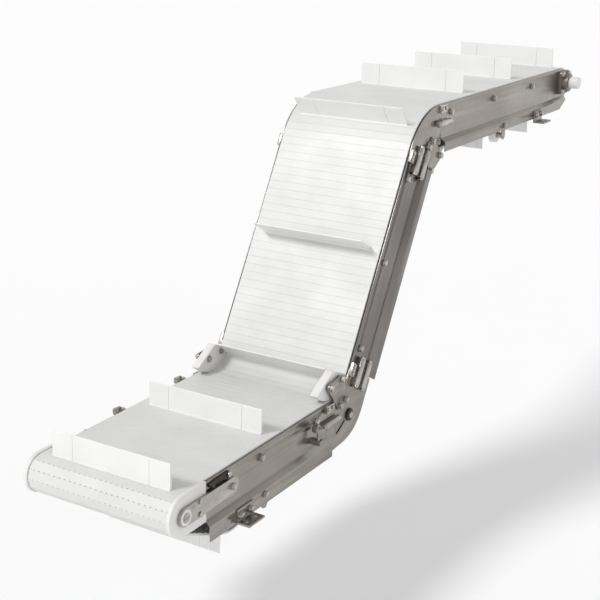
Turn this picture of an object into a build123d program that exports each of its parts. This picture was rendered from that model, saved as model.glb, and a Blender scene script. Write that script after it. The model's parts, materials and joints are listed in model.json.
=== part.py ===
"""Z-shaped cleated-belt conveyor section: low infeed run, 60 degree incline and raised discharge run.

A modular plastic belt with upright flights runs over UHMW wear strips in a bolted stainless frame.
The frame is five pairs of side plates, joined by sleeves and blocks at four seams.

Frame of the model: millimetres, +X along the infeed run in the direction of travel, +Y across the belt,
+Z up.  The origin is the centre of the infeed support bolt pattern, on the underside of the brackets.
"right" is the -Y side and "left" is the +Y side, as seen by a product riding on the belt.

Each straight run has its own section frame: "along" is measured on the belt's top surface, and
"height" is measured square to that surface, so everything below the belt has a negative height.
"""

import os
from dataclasses import dataclass
from math import asin, atan2, cos, degrees, hypot, pi, radians, sin, sqrt, tan

from build123d import *

# ---------------------------------------------------------------- belt and flights
belt_width = 450.0
belt_thickness = 8.7
belt_pitch = 25.4
sprocket_teeth = 12
carry_rows = 113
flight_every_rows = 16
flight_edge_gap = 32.5
flight_height = 72.0
flight_foot_thickness = 7.0
flight_tip_thickness = 4.0
flight_seat = 0.1

# ---------------------------------------------------------------- layout of the Z
incline_angle = 60.0
infeed_length = 789.0
incline_length = 902.0
knee_shoe_radius = 98.0
upper_bend_radius = 220.0
return_shoe_radius = 150.0
return_depth = 145.4
discharge_wheel_setback = 585.4
discharge_sag_setback = 333.4
discharge_sag_radius = 900.0
discharge_sag_depth = 150.0
infeed_wheel_along = 353.0
infeed_sag_along = 228.0
infeed_sag_radius = 110.0
infeed_sag_depth = 197.0

# ---------------------------------------------------------------- frame plates
sheet = 2.5
frame_side_gap = 6.5
joggle_depth = 16.5
frame_top = -4.0
joggle_top = -110.0
joggle_bottom = -122.0
frame_bottom = -152.0
infeed_bottom = -166.0
frame_start = 98.0
lower_knee_reach = 79.0
upper_knee_reach = 147.0
upper_knee_bottom = -130.0
knee_outer_radius = 140.0
knee_inner_radius = 60.0
knee_slot_length = 58.0
knee_slot_width = 8.0
knee_slot_setback = 4.0
knee_slot_height = -104.0
cutter_margin = 1.0

# ---------------------------------------------------------------- carryway
wear_strip_width = 30.0
wear_strip_thickness = 12.0
centre_strip_offset = 60.0
edge_strip_inset = 45.0
wear_strip_setback = 46.0
cross_tube_radius = 15.0
cross_tube_wall = 2.0
cross_tube_plug = 24.0
tube_bolt_gap = 4.0
infeed_tube_start = 357.0
infeed_tube_setback = 144.0
incline_tube_start = 149.0
incline_tube_setback = 214.0
discharge_tube_start = 215.0
discharge_tube_setback = 308.0

# ---------------------------------------------------------------- shafts, wheels and shoes
guide_clearance = 0.3
running_clearance = 0.05
shaft_radius = 20.0
sprocket_width = 38.0
sprocket_inset = 75.0
sprocket_tip_gap = 2.0
sprocket_tooth_depth = 5.0
sprocket_tooth_width = 7.0
shaft_shoulder_gap = 2.0
tail_journal_radius = 12.5
drive_journal_radius = 15.0
knee_wheel_radius = 55.0
knee_wheel_width = 30.0
knee_wheel_inset = 105.0
knee_shaft_radius = 10.0
knee_hub_stand = 6.0
knee_shaft_proud = 4.0
infeed_wheel_radius = 21.0
discharge_wheel_radius = 27.0
return_wheel_width = 22.0
return_wheel_inset = 25.0
axle_radius = 6.0
axle_head_radius = 12.0
axle_shoulder_radius = 9.6
shoe_inset = 28.0
shoe_width = 25.0
shoe_chord = 22.0
shoe_chord_end = 5.0
shoe_tip_turn = 52.0
return_shoe_depth = 36.0
retainer = 3.0
bush_wall = 4.5
bush_flange = 4.0
shoe_spacer_radius = 9.0
bracket_lug_radius = 13.0
wheel_lug_radius = 14.0
hold_down_bolts = ((-40.0, 40.0), (20.0, 66.0))
return_shoe_bolt_turn = 38.0
return_shoe_bolt_inset = 20.0
lower_bracket_spread = 17.0
lower_bracket_heights = (-30.0, -22.0)
upper_bracket_spread = 16.0
upper_bracket_reach = 55.0
shoe_bracket = 4.0
shoe_bolt_sink = 3.5
shoe_bolt_sink_radius = 11.5

# ---------------------------------------------------------------- tail end
tail_plate_gap = 1.5
tail_plate_thickness = 11.5
tail_plate_margin = 2.6
tail_plate_end_gap = 2.0
arm_thickness = 8.0
arm_width = 50.0
arm_pivot_along = 205.0
arm_boss_radius = 14.0
tail_screw_radius = 4.0
tail_screw_depth = 8.0
tail_screw_along = 62.0
tail_screw_spread = 18.0
tail_screw_head_radius = 7.2
tail_screw_head = 3.0
tail_bush_flange = 2.0
shaft_slot_half_length = 14.0
shaft_slot_half_width = 1.5
shaft_slot_depth = 1.5
latch_height = -17.0
latch_start = 118.0
latch_pivot_along = 195.0
latch_bar = 13.0
latch_thickness = 7.0
latch_gap = 0.3
latch_eye_radius = 9.0
latch_peg_radius = 5.5
latch_peg_length = 8.0
latch_pivot_head_radius = 8.0
latch_pivot_head = 4.0

# ---------------------------------------------------------------- supports, splices and fasteners
support_along = 250.0
discharge_support_setback = 283.0
support_drop = 166.0
support_hole_radius = 5.5
support_hole_spacing = 40.0
support_hole_reach = 24.0
support_plate = 6.0
support_length = 72.0
support_foot_reach = 42.0
support_bolt_spacing = 44.0
support_top_gap = 2.0
splice_length = 80.0
splice_sleeve_radius = 10.5
splice_pad = 14.0
level_sleeve_heights = (-60.0,)
incline_sleeve_heights = (-50.0, -97.0)
splice_block_length = 40.0
splice_block_height = 24.0
splice_block_depth = 9.0
splice_screw_spacing = 22.0
splice_screw_radius = 3.5
splice_screw_head_radius = 6.0
splice_screw_head = 3.5
wheel_bracket = 4.0
wheel_bolt_drop = 15.4
bolt_radius = 5.0
hex_radius = 9.8
hex_thickness = 6.5
washer_radius = 10.5
washer_thickness = 2.0
hole_clearance = 0.25
bearing_half = 43.0
bearing_flange = 13.0
bearing_hub_radius = 32.0
bearing_depth = 33.0
bearing_bolt_offset = 31.0
bearing_bolt_gap = 1.0
bearing_corner = 10.0
cap_radius = 22.5
cap_length = 36.0
cap_wall = 4.0
cap_room = 2.0
collar_radius = 24.0
collar_width = 12.0
stub_radius = 14.0
stub_reach = 98.5

# ---------------------------------------------------------------- headed studs on the infeed side plates
left_stud_height = -16.0
right_stud_height = -42.0
right_stud_setback = 174.0
stud_offset = 24.5
stud_radius = 5.0
stud_head_radius = 19.0
stud_head = 12.0
stud_tip = 8.0
stud_washer_radius = 9.0
stud_washer = 2.0
stud_block_drop = 34.0
stud_block_width = 20.0
stud_block_height = 14.0
stud_block_depth = 36.0

# ---------------------------------------------------------------- derived sizes
SIDES = (("right", -1), ("left", 1))
half_belt = belt_width / 2
flight_width = belt_width - 2 * flight_edge_gap
frame_half_width = half_belt + frame_side_gap
strip_half_width = frame_half_width + joggle_depth
hinge_depth = belt_thickness / 2
pitch_radius = belt_pitch / (2 * sin(pi / sprocket_teeth))
half_angle = radians(incline_angle / 2)
frame_inner_half = frame_half_width - sheet
strip_inner_half = strip_half_width - sheet
sprocket_offset = half_belt - sprocket_inset
knee_wheel_offset = half_belt - knee_wheel_inset
return_wheel_inner = half_belt - return_wheel_inset
shoe_inner = half_belt - shoe_inset
support_hole_offset = strip_half_width + support_hole_reach
support_foot_edge = strip_half_width + support_foot_reach
drive_shaft_end = frame_half_width + stub_reach
wear_strip_offsets = (centre_strip_offset, half_belt - edge_strip_inset)
infeed_tubes = (infeed_tube_start, infeed_length - infeed_tube_setback)
incline_tube_end = incline_length - incline_tube_setback
incline_tubes = (incline_tube_start, (incline_tube_start + incline_tube_end) / 2, incline_tube_end)


@dataclass(frozen=True)
class Section:
    """A straight run: its start point on the belt's top surface and its slope in degrees."""

    x: float
    z: float
    slope: float

    def point(self, along, height):
        """Return the (x, z) of a place in this section."""
        c, s = cos(radians(self.slope)), sin(radians(self.slope))
        return self.x + along * c - height * s, self.z + along * s + height * c

    def side_plane(self, y):
        """Return a plane at y whose local x is along, local y is height and normal is -Y."""
        c, s = cos(radians(self.slope)), sin(radians(self.slope))
        return Plane(origin=(self.x, y, self.z), x_dir=(c, 0, s), z_dir=(0, -1, 0))

    def cross_plane(self, along):
        """Return the plane square to the run whose local x is +Y and local y is height."""
        c, s = cos(radians(self.slope)), sin(radians(self.slope))
        x, z = self.point(along, 0)
        return Plane(origin=(x, 0, z), x_dir=(0, 1, 0), z_dir=(c, 0, s))


infeed = Section(-support_along, support_drop, 0)
incline = Section(*infeed.point(infeed_length, 0), incline_angle)
discharge = Section(*incline.point(incline_length, 0), 0)


# ---------------------------------------------------------------- belt route
@dataclass(frozen=True)
class Guide:
    """A circle that the belt's hinge line follows; outer guides press on the belt's outer face."""

    x: float
    z: float
    radius: float
    outer: bool = False

    @property
    def turn(self):
        """Return the radius with a minus sign on an outer guide."""
        return -self.radius if self.outer else self.radius


def heading(first, second):
    """Return the direction, in radians, of the tangent from one guide to the next."""
    dx, dz = second.x - first.x, second.z - first.z
    return atan2(dz, dx) - asin((first.turn - second.turn) / hypot(dx, dz))


def touch(guide, angle):
    """Return the point where a belt heading at this angle touches the guide."""
    return guide.x - guide.turn * sin(angle), guide.z + guide.turn * cos(angle)


def closed_route(guides):
    """Return the route as (kind, guide, angle in, angle out, start point, length), from the first run."""
    pieces = []
    count = len(guides)
    headings = [heading(guides[i], guides[(i + 1) % count]) for i in range(count)]
    for i, guide in enumerate(guides):
        following = guides[(i + 1) % count]
        start, stop = touch(guide, headings[i]), touch(following, headings[i])
        run = hypot(stop[0] - start[0], stop[1] - start[1])
        pieces.append(("run", None, headings[i], headings[i], start, run))
        angle_in, angle_out = headings[i], headings[(i + 1) % count]
        turn = (angle_out - angle_in) if following.outer else (angle_in - angle_out)
        turn %= 2 * pi
        swing = turn if following.outer else -turn
        pieces.append(("arc", following, angle_in, angle_in + swing, stop, turn * following.radius))
    return pieces


def route_length(pieces):
    """Return the length of the hinge line."""
    return sum(piece[5] for piece in pieces)


axis_depth = hinge_depth + pitch_radius
tail_x, tail_z = infeed.point(0, -axis_depth)
shoe_x, shoe_z = infeed.point(infeed_length - knee_shoe_radius * tan(half_angle), knee_shoe_radius)
bend_x, bend_z = discharge.point(upper_bend_radius * tan(half_angle), -upper_bend_radius)
tail_guide = Guide(tail_x, tail_z, pitch_radius)
lower_guide = Guide(shoe_x, shoe_z, knee_shoe_radius + hinge_depth, True)
upper_guide = Guide(bend_x, bend_z, upper_bend_radius - hinge_depth)

# The discharge shaft stands a whole number of belt rows after the tail shaft.
carry_before_discharge = (
    infeed_length - knee_shoe_radius * tan(half_angle)
    + lower_guide.radius * radians(incline_angle)
    + incline_length - (knee_shoe_radius + upper_bend_radius) * tan(half_angle)
    + upper_guide.radius * radians(incline_angle)
)
drive_along = carry_rows * belt_pitch - carry_before_discharge + upper_bend_radius * tan(half_angle)
drive_x, drive_z = discharge.point(drive_along, -axis_depth)
discharge_tube_end = drive_along - discharge_tube_setback
discharge_tubes = (discharge_tube_start, (discharge_tube_start + discharge_tube_end) / 2, discharge_tube_end)
discharge_support_along = drive_along - discharge_support_setback
drive_guide = Guide(drive_x, drive_z, pitch_radius)

discharge_wheel_along = drive_along - discharge_wheel_setback
discharge_sag_x, discharge_sag_z = discharge.point(
    drive_along - discharge_sag_setback, discharge_sag_radius - discharge_sag_depth)
discharge_sag_guide = Guide(discharge_sag_x, discharge_sag_z, discharge_sag_radius)


def wheel_guide(section, along, radius):
    """Return the outer guide of a wheel that carries the return run on its rim."""
    x, z = section.point(along, -return_depth - radius)
    return Guide(x, z, radius + hinge_depth, True)


discharge_wheel_guide = wheel_guide(discharge, discharge_wheel_along, discharge_wheel_radius)
infeed_wheel_guide = wheel_guide(infeed, infeed_wheel_along, infeed_wheel_radius)

return_shoe_height = return_depth + return_shoe_radius
return_shoe_x, return_shoe_z = discharge.point(return_shoe_height * tan(half_angle), -return_shoe_height)
return_shoe_guide = Guide(return_shoe_x, return_shoe_z, return_shoe_radius + hinge_depth, True)

knee_axis_depth = return_depth - belt_thickness - knee_wheel_radius
knee_axis_along = infeed_length + knee_axis_depth * tan(half_angle)
knee_x, knee_z = infeed.point(knee_axis_along, -knee_axis_depth)
knee_guide = Guide(knee_x, knee_z, knee_wheel_radius + hinge_depth)


def route_with_sag(depth):
    """Return the closed route when the hinge line's slack at the infeed hangs down to this depth."""
    x, z = infeed.point(infeed_sag_along, infeed_sag_radius - depth)
    return closed_route([tail_guide, lower_guide, upper_guide, drive_guide, discharge_sag_guide,
                         discharge_wheel_guide, return_shoe_guide, knee_guide, infeed_wheel_guide,
                         Guide(x, z, infeed_sag_radius)])


# The sag at the infeed takes up what the loop's whole number of rows leaves over.
loop_rows = round(route_length(route_with_sag(infeed_sag_depth)) / belt_pitch)
shallow, deep = infeed_sag_depth - 2 * belt_pitch, infeed_sag_depth + 2 * belt_pitch
for _ in range(40):
    sag_found = (shallow + deep) / 2
    if route_length(route_with_sag(sag_found)) < loop_rows * belt_pitch:
        shallow = sag_found
    else:
        deep = sag_found
route = route_with_sag(sag_found)


# ---------------------------------------------------------------- belt bands
def route_pieces(start, stop):
    """Return the route's runs and arcs between two distances, each cut to that stretch."""
    pieces = []
    passed = 0.0
    for kind, guide, angle_in, angle_out, point, length in route:
        first, last = max(start, passed), min(stop, passed + length)
        if last - first > 1e-6:
            share_in, share_out = (first - passed) / length, (last - passed) / length
            swing = angle_out - angle_in
            origin = (point[0] + (first - passed) * cos(angle_in),
                      point[1] + (first - passed) * sin(angle_in))
            pieces.append((kind, guide, angle_in + swing * share_in, angle_in + swing * share_out,
                           origin, last - first))
        passed += length
    return pieces


def route_place(distance):
    """Return the (x, z) and heading in degrees of the hinge line at a distance from the tail shaft."""
    distance %= route_length(route)
    kind, guide, angle_in, angle_out, point, length = route_pieces(0, distance)[-1]
    if kind == "run":
        return point[0] + length * cos(angle_in), point[1] + length * sin(angle_in), degrees(angle_in)
    return *touch(guide, angle_out), degrees(angle_out)


def draw_band(start, stop, inner, outer):
    """Draw the band between two offsets from the hinge line; outwards is positive."""
    for kind, guide, angle_in, angle_out, point, length in route_pieces(start, stop):
        with BuildLine() as outline:
            if kind == "run":
                along = Vector(cos(angle_in), sin(angle_in))
                outward = Vector(-sin(angle_in), cos(angle_in))
                corner = Vector(*point)
                Polyline(corner + outward * inner, corner + outward * outer,
                         corner + along * length + outward * outer,
                         corner + along * length + outward * inner, close=True)
            else:
                sign = -1 if guide.outer else 1
                first = degrees(angle_in) + 90 * sign
                swing = degrees(angle_out - angle_in)
                outer_arc = CenterArc((guide.x, guide.z), guide.radius + sign * outer, first, swing)
                inner_arc = CenterArc((guide.x, guide.z), guide.radius + sign * inner, first, swing)
                Line(outer_arc @ 0, inner_arc @ 0)
                Line(outer_arc @ 1, inner_arc @ 1)
        make_face(outline.edges())


# ---------------------------------------------------------------- shapes that lie across the conveyor
def bar(section, along, height, radius, y1, y2, mode=Mode.ADD):
    """Add a round bar along Y."""
    with BuildSketch(section.side_plane(max(y1, y2))) as profile:
        with Locations((along, height)):
            Circle(radius)
    extrude(profile.sketch, amount=abs(y2 - y1), mode=mode)


def hexagon(section, along, height, y1, y2):
    """Add a bolt's hexagon along Y."""
    with BuildSketch(section.side_plane(max(y1, y2))) as profile:
        with Locations((along, height)):
            RegularPolygon(hex_radius, 6)
    extrude(profile.sketch, amount=abs(y2 - y1))


def prism(section, corners, y1, y2, mode=Mode.ADD):
    """Add a straight-sided prism along Y."""
    with BuildSketch(section.side_plane(max(y1, y2))) as profile:
        Polygon(*corners, align=None)
    extrude(profile.sketch, amount=abs(y2 - y1), mode=mode)


def hull_plate(section, circles, y1, y2):
    """Add a plate whose outline wraps these (along, height, radius) circles."""
    with BuildSketch(section.side_plane(max(y1, y2))) as profile:
        for along, height, radius in circles:
            with Locations((along, height)):
                Circle(radius)
        make_hull(profile.sketch_local.edges())
    extrude(profile.sketch, amount=abs(y2 - y1))


def holes(section, places, radius):
    """Cut round holes along Y right across the conveyor at these (along, height) places."""
    for along, height in places:
        bar(section, along, height, radius, -support_foot_edge, support_foot_edge, Mode.SUBTRACT)


def hex_bolt(section, along, height, sign, seat, tip, nut=None):
    """Add a hex bolt with its washer on |y| = seat, its tip at |y| = tip and a nut ending at |y| = nut."""
    top = seat + washer_thickness
    bar(section, along, height, bolt_radius, sign * tip, sign * top)
    bar(section, along, height, washer_radius, sign * seat, sign * top)
    hexagon(section, along, height, sign * top, sign * (top + hex_thickness))
    if nut is not None:
        hexagon(section, along, height, sign * (nut - hex_thickness), sign * nut)


def world_plane(y):
    """Return the plane at y whose local axes are the model's X and Z and whose normal is -Y."""
    return Plane(origin=(0, y, 0), x_dir=(1, 0, 0), z_dir=(0, -1, 0))


def save(piece, name):
    """Label a finished piece and write its STEP file."""
    piece.part.label = name
    export_step(piece.part, f"parts/{name}.step")


os.makedirs("parts", exist_ok=True)
bolt_hole = bolt_radius + hole_clearance

# ---------------------------------------------------------------- belt
stops = [0.0]
for route_piece in route:
    stops.append(stops[-1] + route_piece[5])
BELT_STRETCHES = {
    "belt_infeed": (0, 2),
    "belt_incline": (2, 3),
    "belt_discharge": (3, 5),
    "belt_drive_wrap": (5, 6),
    "belt_return_discharge": (6, 11),
    "belt_return_incline": (11, 13),
    "belt_return_infeed": (13, 16),
    "belt_return_sag": (16, 19),
    "belt_tail_wrap": (19, 20),
}
for name, (first, last) in BELT_STRETCHES.items():
    with BuildPart() as belt:
        with BuildSketch(world_plane(half_belt)):
            draw_band(stops[first], stops[last], -hinge_depth, hinge_depth)
        extrude(amount=belt_width)
    save(belt, name)


def flight_plane(distance):
    """Return the plane of a flight's side outline: local x follows the belt, local y stands out of it."""
    x, z, angle = route_place(distance)
    c, s = cos(radians(angle)), sin(radians(angle))
    return Plane(origin=(x - hinge_depth * s, flight_width / 2, z + hinge_depth * c),
                 x_dir=(c, 0, s), z_dir=(0, -1, 0))


flight_count = int(loop_rows // flight_every_rows)
flight_places = [belt_pitch * (0.5 + flight_every_rows * i) for i in range(flight_count)]
FLIGHT_GROUPS = {
    "flights_carry": [place for place in flight_places if place < stops[5]],
    "flights_return": [place for place in flight_places if place >= stops[5]],
}
for name, places in FLIGHT_GROUPS.items():
    with BuildPart() as flights:
        for place in places:
            with BuildSketch(flight_plane(place)):
                Polygon((-flight_foot_thickness / 2, flight_seat), (flight_foot_thickness / 2, flight_seat),
                        (flight_tip_thickness / 2, flight_height),
                        (-flight_tip_thickness / 2, flight_height), align=None)
            extrude(amount=flight_width)
    save(flights, name)

# ---------------------------------------------------------------- wear strips
for name, offset in zip(("wear_strips_centre", "wear_strips_edge"), wear_strip_offsets):
    with BuildPart() as strips:
        for sign in (-1, 1):
            with BuildSketch(world_plane(sign * offset + wear_strip_width / 2)):
                draw_band(wear_strip_setback, stops[5] - wear_strip_setback,
                          -hinge_depth - wear_strip_thickness, -hinge_depth)
            extrude(amount=wear_strip_width)
    save(strips, name)

# ---------------------------------------------------------------- places of the bolted joints
tube_height = -belt_thickness - wear_strip_thickness - cross_tube_radius
infeed_end = infeed_length - lower_knee_reach
incline_end = incline_length - upper_knee_reach
SEAMS = ((infeed, infeed_end, level_sleeve_heights), (incline, lower_knee_reach, incline_sleeve_heights),
         (incline, incline_end, incline_sleeve_heights), (discharge, upper_knee_reach, level_sleeve_heights))
block_height = frame_top - splice_block_height / 2
wheel_bolt_height = joggle_bottom - wheel_bolt_drop
infeed_strip_middle = (joggle_bottom + infeed_bottom) / 2
discharge_strip_middle = (joggle_bottom + frame_bottom) / 2
SUPPORTS = (("infeed", infeed, support_along, infeed_strip_middle),
            ("discharge", discharge, discharge_support_along, discharge_strip_middle))
end_corner = axis_depth + frame_top

# Shoes are laid out from their circle's centre: "turn" is along the chord, "reach" towards the belt.
return_shoe_bolts = [(turn, return_shoe_radius - return_shoe_bolt_inset)
                     for turn in (-return_shoe_bolt_turn, return_shoe_bolt_turn)]


def hold_down_place(turn, reach):
    """Return the infeed (along, height) of a place on the lower shoe."""
    c, s = cos(half_angle), sin(half_angle)
    return (infeed_length - knee_shoe_radius * tan(half_angle) + turn * c + reach * s,
            knee_shoe_radius + turn * s - reach * c)


def return_shoe_place(turn, reach):
    """Return the discharge (along, height) of a place on the upper return shoe."""
    c, s = cos(half_angle), sin(half_angle)
    return (return_shoe_height * tan(half_angle) + turn * c - reach * s,
            -return_shoe_height + turn * s + reach * c)


lower_bracket_bolts = [(infeed_length + spread, height)
                       for spread, height in zip((-lower_bracket_spread, lower_bracket_spread),
                                                 lower_bracket_heights)]
upper_bracket_bolts = [return_shoe_place(turn, return_shoe_radius + upper_bracket_reach)
                       for turn in (-upper_bracket_spread, upper_bracket_spread)]


# ---------------------------------------------------------------- formed side plates
def joggled_outline(sign, bottom):
    """Draw the section of a formed side plate: an upper web, a slanted step and an outer strip."""
    mitre = sheet * tan(atan2(strip_half_width - frame_half_width, joggle_top - joggle_bottom) / 2)
    Polygon((sign * frame_half_width, frame_top), (sign * frame_half_width, joggle_top),
            (sign * strip_half_width, joggle_bottom), (sign * strip_half_width, bottom),
            (sign * strip_inner_half, bottom), (sign * strip_inner_half, joggle_bottom - mitre),
            (sign * frame_inner_half, joggle_top - mitre), (sign * frame_inner_half, frame_top), align=None)


for side, sign in SIDES:
    with BuildPart() as plate:
        with BuildSketch(infeed.cross_plane(frame_start)):
            joggled_outline(sign, infeed_bottom)
        extrude(amount=infeed_end - frame_start)
        holes(infeed, [(along, tube_height) for along in infeed_tubes], bolt_hole)
        holes(infeed, [(arm_pivot_along, -axis_depth), (infeed_wheel_along, wheel_bolt_height)], bolt_hole)
        holes(infeed, [(support_along + offset, infeed_strip_middle)
                       for offset in (-support_bolt_spacing / 2, support_bolt_spacing / 2)], bolt_hole)
        holes(infeed, [(latch_pivot_along, latch_height)], bolt_radius)
        holes(infeed, [(infeed_end - splice_screw_spacing / 2, block_height)], splice_screw_radius)
    save(plate, f"side_plate_infeed_{side}")

    with BuildPart() as plate:
        with BuildSketch(incline.cross_plane(lower_knee_reach)):
            joggled_outline(sign, frame_bottom)
        extrude(amount=incline_end - lower_knee_reach)
        holes(incline, [(along, tube_height) for along in incline_tubes], bolt_hole)
        holes(incline, [(lower_knee_reach + splice_screw_spacing / 2, block_height),
                        (incline_end - splice_screw_spacing / 2, block_height)], splice_screw_radius)
    save(plate, f"side_plate_incline_{side}")

    with BuildPart() as plate:
        with BuildSketch(discharge.cross_plane(upper_knee_reach)):
            joggled_outline(sign, frame_bottom)
        extrude(amount=drive_along + axis_depth - upper_knee_reach)
        with BuildSketch(discharge.side_plane(strip_half_width + cutter_margin)):
            with BuildLine():
                nose = CenterArc((drive_along, -axis_depth), end_corner, 0, 90)
                Polyline(nose @ 1, (upper_knee_reach, frame_top), (upper_knee_reach, frame_bottom),
                         (drive_along - end_corner, frame_bottom),
                         (drive_along + end_corner, frame_bottom + end_corner), nose @ 0)
            make_face()
        extrude(amount=2 * (strip_half_width + cutter_margin), mode=Mode.INTERSECT)
        holes(discharge, [(along, tube_height) for along in discharge_tubes], bolt_hole)
        holes(discharge, [(drive_along, -axis_depth)], drive_journal_radius + bush_wall)
        holes(discharge, [(drive_along + a * bearing_bolt_offset, b * bearing_bolt_offset - axis_depth)
                          for a in (-1, 1) for b in (-1, 1)], bolt_hole)
        holes(discharge, [(discharge_wheel_along, wheel_bolt_height)], bolt_hole)
        holes(discharge, [(discharge_support_along + offset, discharge_strip_middle)
                          for offset in (-support_bolt_spacing / 2, support_bolt_spacing / 2)], bolt_hole)
        holes(discharge, [(upper_knee_reach + splice_screw_spacing / 2, block_height)], splice_screw_radius)
    save(plate, f"side_plate_discharge_{side}")

# ---------------------------------------------------------------- flat knee plates
for side, sign in SIDES:
    outer_y = max(sign * frame_half_width, sign * frame_inner_half)
    with BuildPart() as plate:
        with BuildSketch(world_plane(outer_y)):
            outer_corner = incline.point(frame_bottom * tan(half_angle), frame_bottom)
            Polygon(infeed.point(infeed_end, frame_top),
                    infeed.point(infeed_length - frame_top * tan(half_angle), frame_top),
                    incline.point(lower_knee_reach, frame_top),
                    incline.point(lower_knee_reach, frame_bottom),
                    outer_corner, infeed.point(infeed_end, infeed_bottom), align=None)
            fillet(vertices().sort_by_distance((*outer_corner, 0))[0], knee_outer_radius)
        extrude(amount=sheet)
        with BuildSketch(infeed.side_plane(outer_y)):
            with Locations((infeed_length - knee_slot_setback, knee_slot_height)):
                SlotOverall(knee_slot_length, knee_slot_width, rotation=incline_angle / 2)
        extrude(amount=sheet, mode=Mode.SUBTRACT)
        holes(infeed, [(knee_axis_along, -knee_axis_depth)], knee_shaft_radius + bush_wall)
        holes(infeed, lower_bracket_bolts, bolt_hole)
        holes(infeed, [(infeed_end + splice_screw_spacing / 2, block_height)], splice_screw_radius)
        holes(incline, [(lower_knee_reach - splice_screw_spacing / 2, block_height)], splice_screw_radius)
    save(plate, f"knee_plate_lower_{side}")

    with BuildPart() as plate:
        with BuildSketch(world_plane(outer_y)):
            inner_corner = discharge.point(-upper_knee_bottom * tan(half_angle), upper_knee_bottom)
            with BuildLine():
                crown = CenterArc((bend_x, bend_z), upper_bend_radius + frame_top, 90, incline_angle)
                Polyline(crown @ 0, discharge.point(upper_knee_reach, frame_top),
                         discharge.point(upper_knee_reach, upper_knee_bottom), inner_corner,
                         incline.point(incline_end, upper_knee_bottom),
                         incline.point(incline_end, frame_top), crown @ 1)
            make_face()
            fillet(vertices().sort_by_distance((*inner_corner, 0))[0], knee_inner_radius)
        extrude(amount=sheet)
        holes(discharge, upper_bracket_bolts, bolt_hole)
        holes(discharge, [(upper_knee_reach - splice_screw_spacing / 2, block_height)], splice_screw_radius)
        holes(incline, [(incline_end + splice_screw_spacing / 2, block_height)], splice_screw_radius)
    save(plate, f"knee_plate_upper_{side}")

# ---------------------------------------------------------------- cross tubes and their bolts
TUBES = ((infeed, infeed_tubes), (incline, incline_tubes), (discharge, discharge_tubes))
with BuildPart() as tubes:
    for section, places in TUBES:
        for along in places:
            bar(section, along, tube_height, cross_tube_radius, -frame_inner_half, frame_inner_half)
            bar(section, along, tube_height, cross_tube_radius - cross_tube_wall,
                cross_tube_plug - frame_inner_half, frame_inner_half - cross_tube_plug, Mode.SUBTRACT)
            bar(section, along, tube_height, bolt_radius + running_clearance,
                -frame_inner_half, frame_inner_half, Mode.SUBTRACT)
save(tubes, "cross_tubes")

with BuildPart() as bolts:
    for section, places in TUBES:
        for along in places:
            for side, sign in SIDES:
                hex_bolt(section, along, tube_height, sign, frame_half_width,
                         frame_inner_half - cross_tube_plug + tube_bolt_gap)
save(bolts, "cross_tube_bolts")

# ---------------------------------------------------------------- seam splices
with BuildPart() as sleeves:
    for section, seam, heights in SEAMS:
        for side, sign in SIDES:
            centre_y = sign * (frame_half_width + splice_sleeve_radius)
            for height in heights:
                with BuildSketch(section.cross_plane(seam - splice_length / 2)):
                    with Locations((centre_y, height)):
                        Circle(splice_sleeve_radius)
                    with Locations((sign * (frame_half_width + splice_sleeve_radius / 2), height)):
                        Rectangle(splice_sleeve_radius, splice_pad)
                    with Locations((centre_y, height)):
                        Circle(bolt_radius + running_clearance, mode=Mode.SUBTRACT)
                extrude(amount=splice_length)
save(sleeves, "splice_sleeves")

with BuildPart() as bolts:
    for section, seam, heights in SEAMS:
        for side, sign in SIDES:
            for height in heights:
                place = (sign * (frame_half_width + splice_sleeve_radius), height)
                with BuildSketch(section.cross_plane(seam - splice_length / 2 - hex_thickness)):
                    with Locations(place):
                        Circle(bolt_radius)
                extrude(amount=splice_length + 2 * hex_thickness)
                with BuildSketch(section.cross_plane(seam - splice_length / 2 - hex_thickness),
                                 section.cross_plane(seam + splice_length / 2)):
                    with Locations(place):
                        RegularPolygon(hex_radius, 6)
                extrude(amount=hex_thickness)
save(bolts, "splice_bolts")

with BuildPart() as blocks:
    for section, seam, heights in SEAMS:
        for side, sign in SIDES:
            low, high = seam - splice_block_length / 2, seam + splice_block_length / 2
            prism(section, ((low, frame_top - splice_block_height), (high, frame_top - splice_block_height),
                            (high, frame_top), (low, frame_top)),
                  sign * frame_half_width, sign * (frame_half_width + splice_block_depth))
        holes(section, [(seam + offset, block_height)
                        for offset in (-splice_screw_spacing / 2, splice_screw_spacing / 2)],
              splice_screw_radius)
save(blocks, "splice_blocks")

with BuildPart() as screws:
    for section, seam, heights in SEAMS:
        for side, sign in SIDES:
            seat = frame_half_width + splice_block_depth
            for offset in (-splice_screw_spacing / 2, splice_screw_spacing / 2):
                bar(section, seam + offset, block_height, splice_screw_radius,
                    sign * frame_inner_half, sign * seat)
                bar(section, seam + offset, block_height, splice_screw_head_radius,
                    sign * seat, sign * (seat + splice_screw_head))
save(screws, "splice_screws")

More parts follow.
